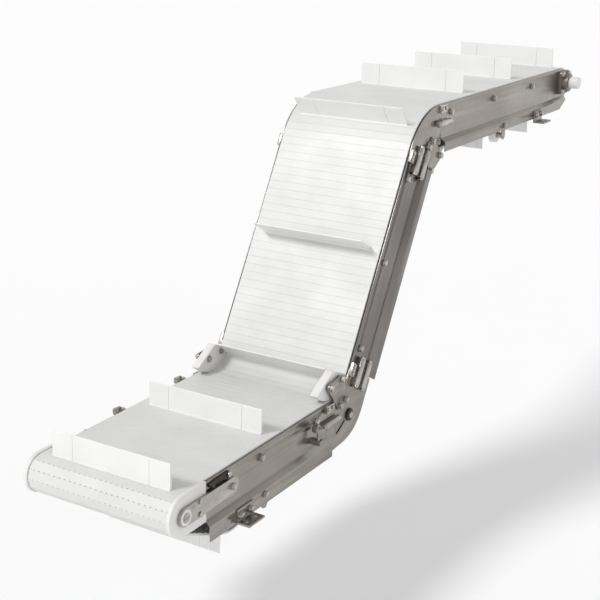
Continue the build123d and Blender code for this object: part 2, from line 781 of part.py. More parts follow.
# ---------------------------------------------------------------- hold-down and return shoes
shoe_outer = shoe_inner + shoe_width
bracket_outer = frame_half_width + shoe_bracket
slide_radius = knee_shoe_radius - guide_clearance
return_slide_radius = return_shoe_radius - guide_clearance
shoe_tip = (shoe_tip_turn, sqrt(slide_radius ** 2 - shoe_tip_turn ** 2))
with BuildPart() as shoes:
    for side, sign in SIDES:
        with BuildSketch(infeed.side_plane(max(sign * shoe_inner, sign * shoe_outer))):
            with BuildLine():
                start_turn = -sqrt(slide_radius ** 2 - shoe_chord ** 2)
                top = Polyline(hold_down_place(start_turn, shoe_chord),
                               hold_down_place(shoe_chord_end, shoe_chord), hold_down_place(*shoe_tip))
                ThreePointArc(top @ 1, hold_down_place(0, slide_radius), top @ 0)
            make_face()
        extrude(amount=shoe_width)
        for place in hold_down_bolts:
            bar(infeed, *hold_down_place(*place), shoe_bolt_sink_radius, sign * shoe_inner,
                sign * (shoe_inner + shoe_bolt_sink), Mode.SUBTRACT)
    holes(infeed, [hold_down_place(*place) for place in hold_down_bolts], bolt_hole)
save(shoes, "hold_down_shoes")

with BuildPart() as shoes:
    for side, sign in SIDES:
        with BuildSketch(discharge.side_plane(max(sign * shoe_inner, sign * shoe_outer))):
            with BuildLine():
                chord_reach = return_shoe_radius - return_shoe_depth
                half_chord = sqrt(return_slide_radius ** 2 - chord_reach ** 2)
                chord = Line(return_shoe_place(-half_chord, chord_reach),
                             return_shoe_place(half_chord, chord_reach))
                ThreePointArc(chord @ 1, return_shoe_place(0, return_slide_radius), chord @ 0)
            make_face()
        extrude(amount=shoe_width)
        for place in return_shoe_bolts:
            bar(discharge, *return_shoe_place(*place), shoe_bolt_sink_radius, sign * shoe_inner,
                sign * (shoe_inner + shoe_bolt_sink), Mode.SUBTRACT)
    holes(discharge, [return_shoe_place(*place) for place in return_shoe_bolts], bolt_hole)
save(shoes, "return_shoes")

BRACKETS = (
    (infeed, [hold_down_place(*place) for place in hold_down_bolts], lower_bracket_bolts),
    (discharge, [return_shoe_place(*place) for place in return_shoe_bolts], upper_bracket_bolts),
)
with BuildPart() as brackets:
    for section, shoe_places, frame_places in BRACKETS:
        for side, sign in SIDES:
            hull_plate(section, [(*place, bracket_lug_radius) for place in (*shoe_places, *frame_places)],
                       sign * frame_half_width, sign * bracket_outer)
            for place in shoe_places:
                bar(section, *place, shoe_spacer_radius, sign * shoe_outer, sign * frame_half_width)
        holes(section, (*shoe_places, *frame_places), bolt_hole)
save(brackets, "shoe_brackets")

with BuildPart() as bolts:
    for section, shoe_places, frame_places in BRACKETS:
        for side, sign in SIDES:
            for place in shoe_places:
                sunk = shoe_inner + shoe_bolt_sink
                hex_bolt(section, *place, sign, bracket_outer, sunk - hex_thickness, sunk)
            for place in frame_places:
                hex_bolt(section, *place, sign, bracket_outer, frame_inner_half - hex_thickness,
                         frame_inner_half)
save(bolts, "shoe_bolts")

# ---------------------------------------------------------------- knee return shaft
with BuildPart() as shaft:
    knee_shaft_end = frame_half_width + bush_flange + knee_shaft_proud
    bar(infeed, knee_axis_along, -knee_axis_depth, knee_shaft_radius, -knee_shaft_end, knee_shaft_end)
save(shaft, "knee_return_shaft")

with BuildPart() as wheels:
    for sign in (-1, 1):
        near, far = knee_wheel_offset - knee_wheel_width / 2, knee_wheel_offset + knee_wheel_width / 2
        bar(infeed, knee_axis_along, -knee_axis_depth, knee_wheel_radius - guide_clearance,
            sign * near, sign * far)
        bar(infeed, knee_axis_along, -knee_axis_depth, 2 * knee_shaft_radius,
            sign * (near - knee_hub_stand), sign * (far + knee_hub_stand))
    holes(infeed, [(knee_axis_along, -knee_axis_depth)], knee_shaft_radius)
save(wheels, "knee_return_wheels")

with BuildPart() as bushes:
    for side, sign in SIDES:
        bar(infeed, knee_axis_along, -knee_axis_depth, knee_shaft_radius + bush_wall,
            sign * frame_inner_half, sign * frame_half_width)
        bar(infeed, knee_axis_along, -knee_axis_depth, knee_shaft_radius + 2 * bush_wall,
            sign * frame_half_width, sign * (frame_half_width + bush_flange))
    holes(infeed, [(knee_axis_along, -knee_axis_depth)], knee_shaft_radius + running_clearance)
save(bushes, "knee_bushes")

# ---------------------------------------------------------------- return wheels on stub axles
RETURN_WHEELS = (("infeed", infeed, infeed_wheel_along, infeed_wheel_radius),
                 ("discharge", discharge, discharge_wheel_along, discharge_wheel_radius))
wheel_outer = return_wheel_inner + return_wheel_width
bracket_inner = strip_inner_half - wheel_bracket
for run, section, along, radius in RETURN_WHEELS:
    height = -return_depth - radius
    for side, sign in SIDES:
        with BuildPart() as wheel:
            bar(section, along, height, radius - guide_clearance,
                sign * (return_wheel_inner + guide_clearance), sign * (wheel_outer - guide_clearance))
            holes(section, [(along, height)], axle_radius + running_clearance)
        save(wheel, f"return_wheel_{run}_{side}")

with BuildPart() as axles:
    for run, section, along, radius in RETURN_WHEELS:
        for side, sign in SIDES:
            height = -return_depth - radius
            bar(section, along, height, axle_head_radius, sign * (return_wheel_inner - retainer),
                sign * return_wheel_inner)
            bar(section, along, height, axle_radius, sign * return_wheel_inner, sign * strip_inner_half)
            bar(section, along, height, axle_shoulder_radius, sign * wheel_outer, sign * bracket_inner)
save(axles, "return_wheel_axles")

with BuildPart() as brackets:
    for run, section, along, radius in RETURN_WHEELS:
        for side, sign in SIDES:
            hull_plate(section, [(along, wheel_bolt_height, bracket_lug_radius),
                                 (along, -return_depth - radius, wheel_lug_radius)],
                       sign * bracket_inner, sign * strip_inner_half)
        holes(section, [(along, wheel_bolt_height)], bolt_hole)
        holes(section, [(along, -return_depth - radius)], axle_radius)
save(brackets, "return_wheel_brackets")


# ---------------------------------------------------------------- sprockets
def sprocket(section, along, y):
    """Add one belt sprocket with a plain bore for the shaft."""
    root = pitch_radius - hinge_depth - sprocket_tip_gap - sprocket_tooth_depth
    with BuildSketch(section.side_plane(y + sprocket_width / 2)) as profile:
        with Locations((along, -axis_depth)):
            Circle(root)
            with PolarLocations(root, sprocket_teeth):
                Rectangle(2 * sprocket_tooth_depth, sprocket_tooth_width)
            Circle(shaft_radius, mode=Mode.SUBTRACT)
    extrude(profile.sketch, amount=sprocket_width)


for name, section, along in (("tail_sprockets", infeed, 0.0), ("drive_sprockets", discharge, drive_along)):
    with BuildPart() as sprockets:
        for y in (-sprocket_offset, 0, sprocket_offset):
            sprocket(section, along, y)
    save(sprockets, name)

# ---------------------------------------------------------------- tail shaft, tail plates and arms
tail_plate_inner = half_belt + tail_plate_gap
tail_plate_outer = tail_plate_inner + tail_plate_thickness
arm_outer = tail_plate_outer + arm_thickness
shaft_shoulder = tail_plate_inner - shaft_shoulder_gap
tail_bush_radius = tail_journal_radius + bush_wall
tail_screws = [(tail_screw_along, -axis_depth - tail_screw_spread),
               (tail_screw_along, -axis_depth + tail_screw_spread)]
with BuildPart() as shaft:
    bar(infeed, 0, -axis_depth, shaft_radius, -shaft_shoulder, shaft_shoulder)
    bar(infeed, 0, -axis_depth, tail_journal_radius, -arm_outer - bush_flange, arm_outer + bush_flange)
    for sign in (-1, 1):
        prism(infeed, [(a * shaft_slot_half_length, b * shaft_slot_half_width - axis_depth)
                       for a, b in ((-1, -1), (1, -1), (1, 1), (-1, 1))],
              sign * (arm_outer + bush_flange - shaft_slot_depth), sign * (arm_outer + bush_flange),
              Mode.SUBTRACT)
save(shaft, "tail_shaft")

nose_radius = axis_depth + tail_plate_margin
tail_plate_end = frame_start - tail_plate_end_gap
with BuildPart() as plates:
    for side, sign in SIDES:
        bar(infeed, 0, -axis_depth, nose_radius, sign * tail_plate_inner, sign * tail_plate_outer)
        prism(infeed, ((0, -axis_depth - nose_radius), (tail_plate_end, -axis_depth - nose_radius),
                       (tail_plate_end, -axis_depth + nose_radius), (0, -axis_depth + nose_radius)),
              sign * tail_plate_inner, sign * tail_plate_outer)
        for place in tail_screws:
            bar(infeed, *place, tail_screw_radius, sign * (tail_plate_outer - tail_screw_depth),
                sign * tail_plate_outer, Mode.SUBTRACT)
    holes(infeed, [(0, -axis_depth)], tail_bush_radius)
save(plates, "tail_side_plates")

with BuildPart() as arms:
    for side, sign in SIDES:
        hull_plate(infeed, [(0, -axis_depth, arm_width / 2), (arm_pivot_along, -axis_depth, arm_width / 2)],
                   sign * tail_plate_outer, sign * arm_outer)
        bar(infeed, arm_pivot_along, -axis_depth, arm_boss_radius, sign * frame_half_width,
            sign * tail_plate_outer)
    holes(infeed, [(0, -axis_depth)], tail_bush_radius)
    holes(infeed, [(arm_pivot_along, -axis_depth)], bolt_hole)
    holes(infeed, tail_screws, tail_screw_radius)
save(arms, "tail_arms")

latch_inner = frame_half_width + latch_gap
for side, sign in SIDES:
    with BuildPart() as latch:
        hull_plate(infeed, [(latch_start, latch_height, latch_bar / 2),
                            (latch_pivot_along, latch_height, latch_eye_radius)],
                   sign * latch_inner, sign * (latch_inner + latch_thickness))
        bar(infeed, latch_start, latch_height, latch_peg_radius, sign * (latch_inner + latch_thickness),
            sign * (latch_inner + latch_thickness + latch_peg_length))
        holes(infeed, [(latch_pivot_along, latch_height)], bolt_radius + running_clearance)
    save(latch, f"tail_latch_{side}")

with BuildPart() as bushes:
    for side, sign in SIDES:
        bar(infeed, 0, -axis_depth, tail_bush_radius, sign * tail_plate_inner, sign * arm_outer)
        bar(infeed, 0, -axis_depth, tail_bush_radius + bush_wall, sign * arm_outer,
            sign * (arm_outer + tail_bush_flange))
    holes(infeed, [(0, -axis_depth)], tail_journal_radius + running_clearance)
save(bushes, "tail_bushes")

with BuildPart() as fixings:
    for side, sign in SIDES:
        hex_bolt(infeed, arm_pivot_along, -axis_depth, sign, arm_outer, frame_inner_half - hex_thickness,
                 frame_inner_half)
        for place in tail_screws:
            bar(infeed, *place, tail_screw_radius, sign * (tail_plate_outer - tail_screw_depth),
                sign * arm_outer)
            bar(infeed, *place, tail_screw_head_radius, sign * arm_outer,
                sign * (arm_outer + tail_screw_head))
        latch_face = frame_half_width + 2 * latch_gap + latch_thickness
        bar(infeed, latch_pivot_along, latch_height, bolt_radius, sign * frame_inner_half, sign * latch_face)
        bar(infeed, latch_pivot_along, latch_height, latch_pivot_head_radius, sign * latch_face,
            sign * (latch_face + latch_pivot_head))
save(fixings, "tail_fixings")

# ---------------------------------------------------------------- drive shaft and its bearings
bearing_face = frame_half_width + bearing_depth
cap_face = bearing_face + cap_length
collar_start = bearing_face + guide_clearance
stub_start = collar_start + collar_width
with BuildPart() as shaft:
    bar(discharge, drive_along, -axis_depth, shaft_radius, -shaft_shoulder, shaft_shoulder)
    bar(discharge, drive_along, -axis_depth, drive_journal_radius, cap_wall + cap_room - cap_face,
        stub_start)
    bar(discharge, drive_along, -axis_depth, stub_radius, stub_start, drive_shaft_end)
save(shaft, "drive_shaft")

with BuildPart() as collar:
    bar(discharge, drive_along, -axis_depth, collar_radius, collar_start, stub_start)
    bar(discharge, drive_along, -axis_depth, drive_journal_radius, collar_start, stub_start, Mode.SUBTRACT)
save(collar, "drive_shaft_collar")

with BuildPart() as bearings:
    for side, sign in SIDES:
        with BuildSketch(discharge.side_plane(max(sign * frame_half_width,
                                                  sign * (frame_half_width + bearing_flange)))):
            with Locations((drive_along, -axis_depth)):
                RectangleRounded(2 * bearing_half, 2 * bearing_half, bearing_corner)
        extrude(amount=bearing_flange)
        bar(discharge, drive_along, -axis_depth, bearing_hub_radius, sign * frame_half_width,
            sign * bearing_face)
    holes(discharge, [(drive_along, -axis_depth)], drive_journal_radius + running_clearance)
    holes(discharge, [(drive_along + a * bearing_bolt_offset, b * bearing_bolt_offset - axis_depth)
                      for a in (-1, 1) for b in (-1, 1)], bolt_hole)
save(bearings, "drive_bearings")

with BuildPart() as cap:
    bar(discharge, drive_along, -axis_depth, cap_radius, -cap_face, -bearing_face)
    bar(discharge, drive_along, -axis_depth, drive_journal_radius + cap_room, cap_wall - cap_face,
        -bearing_face, Mode.SUBTRACT)
save(cap, "bearing_cap")

with BuildPart() as bolts:
    for side, sign in SIDES:
        for a in (-1, 1):
            for b in (-1, 1):
                hex_bolt(discharge, drive_along + a * bearing_bolt_offset,
                         b * bearing_bolt_offset - axis_depth, sign, frame_half_width + bearing_flange,
                         half_belt + bearing_bolt_gap)
save(bolts, "bearing_bolts")

# ---------------------------------------------------------------- support brackets
for run, section, along, bolt_height in SUPPORTS:
    with BuildPart() as brackets:
        for side, sign in SIDES:
            with BuildSketch(section.cross_plane(along - support_length / 2)):
                Polygon((sign * strip_half_width, joggle_bottom - support_top_gap),
                        (sign * (strip_half_width + support_plate), joggle_bottom - support_top_gap),
                        (sign * (strip_half_width + support_plate), support_plate - support_drop),
                        (sign * support_foot_edge, support_plate - support_drop),
                        (sign * support_foot_edge, -support_drop), (sign * strip_half_width, -support_drop),
                        align=None)
            extrude(amount=support_length)
        foot_x, foot_z = section.point(along, -support_drop)
        with BuildSketch(Plane(origin=(foot_x, 0, foot_z))):
            with GridLocations(support_hole_spacing, 2 * support_hole_offset, 2, 2):
                Circle(support_hole_radius)
        extrude(amount=support_plate, mode=Mode.SUBTRACT)
        holes(section, [(along + offset, bolt_height)
                        for offset in (-support_bolt_spacing / 2, support_bolt_spacing / 2)], bolt_hole)
    save(brackets, f"support_brackets_{run}")

with BuildPart() as bolts:
    for run, section, along, bolt_height in SUPPORTS:
        for side, sign in SIDES:
            for offset in (-support_bolt_spacing / 2, support_bolt_spacing / 2):
                hex_bolt(section, along + offset, bolt_height, sign, strip_half_width + support_plate,
                         strip_inner_half - hex_thickness, strip_inner_half)
    for run, section, along, radius in RETURN_WHEELS:
        for side, sign in SIDES:
            hex_bolt(section, along, wheel_bolt_height, sign, strip_half_width,
                     bracket_inner - hex_thickness, bracket_inner)
save(bolts, "strip_bolts")

# ---------------------------------------------------------------- headed studs
STUDS = ((infeed_tubes[0], 1, left_stud_height), (infeed_tubes[1], 1, left_stud_height),
         (infeed_length - right_stud_setback, -1, right_stud_height))
with BuildPart() as studs:
    for along, sign, height in STUDS:
        block_top = height - stud_block_drop
        near, far = along - stud_block_width / 2, along + stud_block_width / 2
        prism(infeed, ((near, block_top - stud_block_height), (far, block_top - stud_block_height),
                       (far, block_top), (near, block_top)),
              sign * frame_half_width, sign * (frame_half_width + stud_block_depth))
        head_bottom = height - stud_head / 2
        foot_x, foot_z = infeed.point(along, block_top)
        stud_y = sign * (frame_half_width + stud_offset)
        rings = ((block_top, stud_radius, head_bottom - block_top + stud_head + stud_tip),
                 (head_bottom, stud_head_radius, stud_head),
                 (head_bottom + stud_head, stud_washer_radius, stud_washer))
        for ring_height, ring_radius, ring_length in rings:
            with BuildSketch(Plane(origin=(foot_x, stud_y, foot_z + ring_height - block_top))):
                Circle(ring_radius)
            extrude(amount=ring_length)
save(studs, "side_plate_studs")
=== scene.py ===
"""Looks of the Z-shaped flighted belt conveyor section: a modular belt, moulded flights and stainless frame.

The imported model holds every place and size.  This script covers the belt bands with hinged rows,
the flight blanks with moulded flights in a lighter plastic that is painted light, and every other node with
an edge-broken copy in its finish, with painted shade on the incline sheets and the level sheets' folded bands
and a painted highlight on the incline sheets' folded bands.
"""

import json
import logging
from dataclasses import dataclass, field
from enum import Enum
from math import asin, atan2, cos, hypot, pi, radians, sin, tan
from typing import Any, ClassVar, Iterable

import bmesh
import bpy
from mathutils import Matrix, Vector


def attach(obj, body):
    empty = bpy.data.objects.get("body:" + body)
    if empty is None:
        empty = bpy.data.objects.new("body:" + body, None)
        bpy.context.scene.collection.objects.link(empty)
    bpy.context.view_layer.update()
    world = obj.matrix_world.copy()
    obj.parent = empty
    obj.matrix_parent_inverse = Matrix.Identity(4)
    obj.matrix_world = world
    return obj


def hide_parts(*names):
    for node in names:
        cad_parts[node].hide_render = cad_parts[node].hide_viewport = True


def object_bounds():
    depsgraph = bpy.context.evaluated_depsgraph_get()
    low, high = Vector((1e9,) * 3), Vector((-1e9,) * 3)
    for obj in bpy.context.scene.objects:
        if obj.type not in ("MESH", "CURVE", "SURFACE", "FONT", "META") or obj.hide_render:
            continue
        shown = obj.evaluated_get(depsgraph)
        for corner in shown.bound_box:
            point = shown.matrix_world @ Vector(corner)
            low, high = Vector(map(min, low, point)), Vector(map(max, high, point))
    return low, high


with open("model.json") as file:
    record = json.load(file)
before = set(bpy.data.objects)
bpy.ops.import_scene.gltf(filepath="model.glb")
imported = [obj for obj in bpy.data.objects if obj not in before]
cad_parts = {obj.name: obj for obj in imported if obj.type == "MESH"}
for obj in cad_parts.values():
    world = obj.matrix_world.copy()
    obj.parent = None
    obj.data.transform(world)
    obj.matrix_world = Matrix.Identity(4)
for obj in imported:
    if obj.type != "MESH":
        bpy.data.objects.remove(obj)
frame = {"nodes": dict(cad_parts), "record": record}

CAD_BOX = [[float(x) for x in corner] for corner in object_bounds()]
MM = 0.001
log = logging.getLogger("conveyor")


# ------------------------------------------------------------------ shader maths
class Value:
    """A number that varies over a surface; Python operators on it add Math nodes."""

    def __init__(self, nodes: "Nodes", socket: bpy.types.NodeSocket) -> None:
        """Wrap a socket.

        Args:
            nodes: the node builder that owns the socket.
            socket: an output socket that carries one number.
        """
        self.nodes = nodes
        self.socket = socket

    def _maths(self, operation: str, first: Any, second: Any) -> "Value":
        """Add one Math node.

        Args:
            operation: the Math node's operation.
            first: a Value or a number.
            second: a Value or a number.

        Returns:
            The node's result.
        """
        node = self.nodes.add("ShaderNodeMath", {"operation": operation}, {0: first, 1: second})
        return Value(self.nodes, node.outputs[0])

    def __add__(self, other: Any) -> "Value":
        """Return self + other."""
        return self._maths("ADD", self, other)

    def __radd__(self, other: Any) -> "Value":
        """Return other + self."""
        return self._maths("ADD", other, self)

    def __sub__(self, other: Any) -> "Value":
        """Return self - other."""
        return self._maths("SUBTRACT", self, other)

    def __rsub__(self, other: Any) -> "Value":
        """Return other - self."""
        return self._maths("SUBTRACT", other, self)

    def __mul__(self, other: Any) -> "Value":
        """Return self * other."""
        return self._maths("MULTIPLY", self, other)

    def __rmul__(self, other: Any) -> "Value":
        """Return other * self."""
        return self._maths("MULTIPLY", other, self)


class Nodes:
    """Builds the node tree of one material or of the world."""

    def __init__(self, owner: bpy.types.Material | bpy.types.World) -> None:
        """Start with an empty tree.

        Args:
            owner: the material or world that the nodes belong to.
        """
        self.owner = owner
        owner.use_nodes = True
        self.tree = owner.node_tree
        self.tree.nodes.clear()

    @classmethod
    def material(cls, name: str) -> "Nodes":
        """Return the builder of a new material."""
        return cls(bpy.data.materials.new(name))

    def add(self, kind: str, settings: dict[str, Any] | None = None,
            inputs: dict[Any, Any] | None = None) -> bpy.types.Node:
        """Add any node.

        Args:
            kind: the node's type.
            settings: attributes, set before the sockets.
            inputs: socket name or number to a Value, a socket or a constant.

        Returns:
            The new node.
        """
        node = self.tree.nodes.new(kind)
        for key, setting in (settings or {}).items():
            setattr(node, key, setting)
        for key, value in (inputs or {}).items():
            if isinstance(value, Value):
                self.tree.links.new(value.socket, node.inputs[key])
            elif isinstance(value, bpy.types.NodeSocket):
                self.tree.links.new(value, node.inputs[key])
            else:
                node.inputs[key].default_value = value
        return node

    def place(self, scale: tuple[float, float, float] = (1, 1, 1), turn: float = 0.0) -> bpy.types.NodeSocket:
        """Return object coordinates, turned about Y by `turn` degrees and then stretched."""
        where = self.add("ShaderNodeTexCoord").outputs["Object"]
        turned = self.add("ShaderNodeMapping", {"vector_type": "POINT"},
                          {"Vector": where, "Rotation": (0.0, radians(turn), 0.0)})
        return self.add("ShaderNodeMapping", {"vector_type": "POINT"},
                        {"Vector": turned.outputs[0], "Scale": scale}).outputs[0]

    def noise(self, where: bpy.types.NodeSocket, scale: float, detail: float,
              roughness: float = 0.55) -> Value:
        """Return a noise value of this scale at these coordinates."""
        node = self.add("ShaderNodeTexNoise", {"noise_dimensions": "3D"},
                        {"Vector": where, "Scale": scale, "Detail": detail, "Roughness": roughness})
        return Value(self, node.outputs["Fac"])

    def ramp(self, value: Value, low: float, high: float) -> Value:
        """Return 0 below `low`, 1 above `high` and a straight line between."""
        node = self.add("ShaderNodeMapRange", {"clamp": True},
                        {"Value": value, "From Min": low, "From Max": high})
        return Value(self, node.outputs["Result"])

    def mix(self, share: Value, first: tuple, second: tuple) -> bpy.types.NodeSocket:
        """Return the colour between two colours."""
        node = self.add("ShaderNodeMix", {"data_type": "RGBA"},
                        {0: share, 6: (*first, 1.0), 7: (*second, 1.0)})
        return node.outputs[2]

    def bump(self, height: Value, strength: float, distance: float) -> bpy.types.NodeSocket:
        """Return a normal raised by a height."""
        return self.add("ShaderNodeBump", None, {"Strength": strength, "Distance": distance,
                                                 "Height": height}).outputs[0]

    def surface(self, **sockets: Any) -> bpy.types.Material:
        """Finish the material with one Principled shader.

        Args:
            **sockets: the shader's sockets, with an underscore for each space.

        Returns:
            The material.
        """
        inputs = {name.replace("_", " "): value for name, value in sockets.items()}
        shader = self.add("ShaderNodeBsdfPrincipled", None, inputs)
        self.add("ShaderNodeOutputMaterial", None, {"Surface": shader.outputs[0]})
        return self.owner


class Texture(Enum):
    """How a plastic's surface was made."""

    MOULDED = "moulded"
    MACHINED = "machined"


@dataclass(frozen=True)
class Plastic:
    """A white engineering plastic with handling marks and a fine surface texture."""

    name: str
    colour: tuple[float, float, float]
    shade: tuple[float, float, float]
    roughness: float
    texture: Texture
    cloud_scale: ClassVar[float] = 7.0
    cloud_limits: ClassVar[tuple[float, float]] = (0.35, 0.72)
    scuff_stretch: ClassVar[tuple[float, float, float]] = (30, 260, 30)
    scuff_limits: ClassVar[tuple[float, float]] = (0.62, 0.78)
    cloud_tone: ClassVar[float] = 0.75
    scuff_tone: ClassVar[float] = 0.2
    cloud_dulling: ClassVar[float] = 0.12
    scuff_dulling: ClassVar[float] = 0.1
    mould_scale: ClassVar[float] = 900.0
    mould_bump: ClassVar[tuple[float, float]] = (0.25, 0.0001)
    tool_stretch: ClassVar[tuple[float, float, float]] = (500, 500, 60)
    tool_bump: ClassVar[tuple[float, float]] = (0.3, 0.00015)
    refraction: ClassVar[float] = 1.49
    gloss: ClassVar[float] = 0.45

    def build(self) -> bpy.types.Material:
        """Return the finished material."""
        nodes = Nodes.material(self.name)
        where = nodes.place()
        cloudy = nodes.ramp(nodes.noise(where, self.cloud_scale, 5.0), *self.cloud_limits)
        scuffs = nodes.ramp(nodes.noise(nodes.place(self.scuff_stretch), 1.0, 4.0), *self.scuff_limits)
        tone = self.cloud_tone * cloudy + self.scuff_tone * scuffs
        if self.texture is Texture.MOULDED:
            normal = nodes.bump(nodes.noise(where, self.mould_scale, 2.0), *self.mould_bump)
        else:
            normal = nodes.bump(nodes.noise(nodes.place(self.tool_stretch), 1.0, 2.0), *self.tool_bump)
        rough = self.roughness + self.cloud_dulling * cloudy + self.scuff_dulling * scuffs
        return nodes.surface(Base_Color=nodes.mix(tone, self.colour, self.shade), Roughness=rough,
                             Normal=normal, IOR=self.refraction, Specular_IOR_Level=self.gloss)


@dataclass(frozen=True)
class Steel:
    """Satin stainless steel: a grain along the piece, cloudy pickling and dull finger marks."""

    name: str
    colour: tuple[float, float, float]
    shade: tuple[float, float, float]
    roughness: float
    grain: tuple[float, float, float]
    turn: float = 0.0
    grain_height: float = 0.00006
    grain_bump: ClassVar[float] = 0.35
    streak_share: ClassVar[float] = 0.16
    streak_limits: ClassVar[tuple[float, float]] = (0.3, 0.7)
    cloud_scale: ClassVar[float] = 5.5
    cloud_limits: ClassVar[tuple[float, float]] = (0.32, 0.74)
    mark_scale: ClassVar[float] = 26.0
    mark_limits: ClassVar[tuple[float, float]] = (0.6, 0.75)
    cloud_tone: ClassVar[float] = 0.45
    streak_tone: ClassVar[float] = 0.4
    mark_tone: ClassVar[float] = 0.15
    grain_dulling: ClassVar[float] = 0.16
    cloud_dulling: ClassVar[float] = 0.12
    mark_dulling: ClassVar[float] = 0.08

    def build(self) -> bpy.types.Material:
        """Return the finished material."""
        nodes = Nodes.material(self.name)
        grain = nodes.noise(nodes.place(self.grain, self.turn), 1.0, 4.0, 0.7)
        broad = tuple(part * self.streak_share for part in self.grain)
        streaks = nodes.ramp(nodes.noise(nodes.place(broad, self.turn), 1.0, 3.0, 0.6), *self.streak_limits)
        cloud = nodes.ramp(nodes.noise(nodes.place(), self.cloud_scale, 5.0), *self.cloud_limits)
        marks = nodes.ramp(nodes.noise(nodes.place(), self.mark_scale, 4.0), *self.mark_limits)
        tone = self.cloud_tone * cloud + self.streak_tone * streaks + self.mark_tone * marks
        rough = (self.roughness + self.grain_dulling * grain + self.cloud_dulling * cloud
                 + self.mark_dulling * marks)
        return nodes.surface(Base_Color=nodes.mix(tone, self.colour, self.shade), Roughness=rough,
                             Metallic=1.0, Normal=nodes.bump(grain, self.grain_bump, self.grain_height))


@dataclass(frozen=True)
class Blackened:
    """Blackened steel, rubbed to bright metal in places."""

    name: str
    colour: tuple[float, float, float]
    rubbed: tuple[float, float, float]
    metal: ClassVar[float] = 0.8
    roughness: ClassVar[float] = 0.42
    wear_scale: ClassVar[float] = 90.0
    wear_limits: ClassVar[tuple[float, float]] = (0.58, 0.72)
    wear_polish: ClassVar[float] = 0.12
    pore_scale: ClassVar[float] = 1400.0
    pore_dulling: ClassVar[float] = 0.1
    pore_bump: ClassVar[tuple[float, float]] = (0.3, 0.0001)

    def build(self) -> bpy.types.Material:
        """Return the finished material."""
        nodes = Nodes.material(self.name)
        wear = nodes.ramp(nodes.noise(nodes.place(), self.wear_scale, 5.0), *self.wear_limits)
        pores = nodes.noise(nodes.place(), self.pore_scale, 2.0)
        rough = self.roughness - self.wear_polish * wear + self.pore_dulling * pores
        return nodes.surface(Base_Color=nodes.mix(wear, self.colour, self.rubbed), Metallic=self.metal,
                             Roughness=rough, Normal=nodes.bump(pores, *self.pore_bump))


SHEET_GRAIN = (3, 220, 420)
INCLINE_TURN = 60.0
BELT_PLASTIC = Plastic("belt_acetal", (0.66, 0.66, 0.655), (0.60, 0.60, 0.595), 0.38, Texture.MOULDED)
# Painted light: the flights are the same acetal as the belt, given a lighter colour for the light that falls
# on their fronts.
FLIGHT_PLASTIC_PAINTED_LIGHT = Plastic("flight_acetal_painted_light", (0.78, 0.78, 0.775), (0.70, 0.70, 0.69), 0.36, Texture.MOULDED)
SLIDE_PLASTIC = Plastic("machined_slide_plastic", (0.74, 0.735, 0.73), (0.64, 0.635, 0.62), 0.45,
                        Texture.MACHINED)
LEVEL_SHEET = Steel("satin_sheet_level", (0.36, 0.335, 0.305), (0.22, 0.2, 0.175), 0.16, SHEET_GRAIN)
# Painted shade: the incline sheets are the same steel as the level sheets, given a darker colour for the
# shade on them.
INCLINE_SHEET_PAINTED_SHADE = Steel("satin_sheet_incline_painted_shade", (0.25, 0.23, 0.222), (0.15, 0.138, 0.134), 0.16,
                      SHEET_GRAIN, INCLINE_TURN)
# Painted shade: the level sheets' folded band faces downward and gets a dark steel that stands in for the
# shade on it.
LEVEL_FOLD_PAINTED_SHADE = Steel("painted_shade_fold_level", (0.20, 0.18, 0.155), (0.13, 0.115, 0.1), 0.3, SHEET_GRAIN)
# Painted highlight: the incline sheets' folded band gets a near-white steel that stands in for the bright
# reflection on the bend.
INCLINE_FOLD_PAINTED_HIGHLIGHT = Steel("painted_highlight_fold_incline", (0.9, 0.86, 0.84), (0.72, 0.68, 0.66), 0.1,
                     SHEET_GRAIN, INCLINE_TURN)
BAR_STEEL = Steel("turned_bar", (0.56, 0.53, 0.50), (0.26, 0.24, 0.22), 0.16, (260, 60, 260), 0.0, 0.00008)
CAST_STEEL = Steel("blasted_casting", (0.34, 0.30, 0.27), (0.16, 0.14, 0.125), 0.34, (700, 700, 700), 0.0,
                   0.0002)
DARK_STEEL = Blackened("blackened_steel", (0.05, 0.046, 0.038), (0.22, 0.21, 0.19))


# ------------------------------------------------------------------ piece making
class Piece:
    """Turns a bmesh into a finished object that rides on a body."""

    @staticmethod
    def make(name: str, shape: bmesh.types.BMesh, finishes: Iterable[bpy.types.Material], body: str,
             slot: str, nodes: Iterable[str], smooth_to: float = 36.0) -> bpy.types.Object:
        """Make the object, link it to the scene, put it on its body and hide the CAD nodes that it stands
        for.

        Args:
            name: the piece's name.
            shape: its mesh, which is freed.
            finishes: its materials, in the order of its faces' material numbers.
            body: the body that it rides on.
            slot: the record's material slot; not used.
            nodes: the CAD nodes that it stands for.
            smooth_to: edges under this angle, in degrees, are shaded smooth.

        Returns:
            The new object.
        """
        mesh = bpy.data.meshes.new(name)
        shape.to_mesh(mesh)
        shape.free()
        mesh.shade_smooth()
        mesh.set_sharp_from_angle(angle=radians(smooth_to))
        mesh.materials.clear()
        for finish in finishes:
            mesh.materials.append(finish)
        piece = bpy.data.objects.new(name, mesh)
        bpy.context.scene.collection.objects.link(piece)
        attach(piece, body)
        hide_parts(*nodes)
        log.info("%s: %d faces on %s", name, len(mesh.polygons), body)
        return piece


# ------------------------------------------------------------------ the belt's route
@dataclass(frozen=True)
class Guide:
    """A circle that the hinge line follows; outer guides press on the belt's outer face."""

    x: float
    z: float
    radius: float
    outer: bool = False

    @property
    def turn(self) -> float:
        """Return the radius, negative on an outer guide."""
        return -self.radius if self.outer else self.radius

    def touch(self, angle: float) -> tuple[float, float]:
        """Return where a belt heading at this angle touches the circle."""
        return self.x - self.turn * sin(angle), self.z + self.turn * cos(angle)


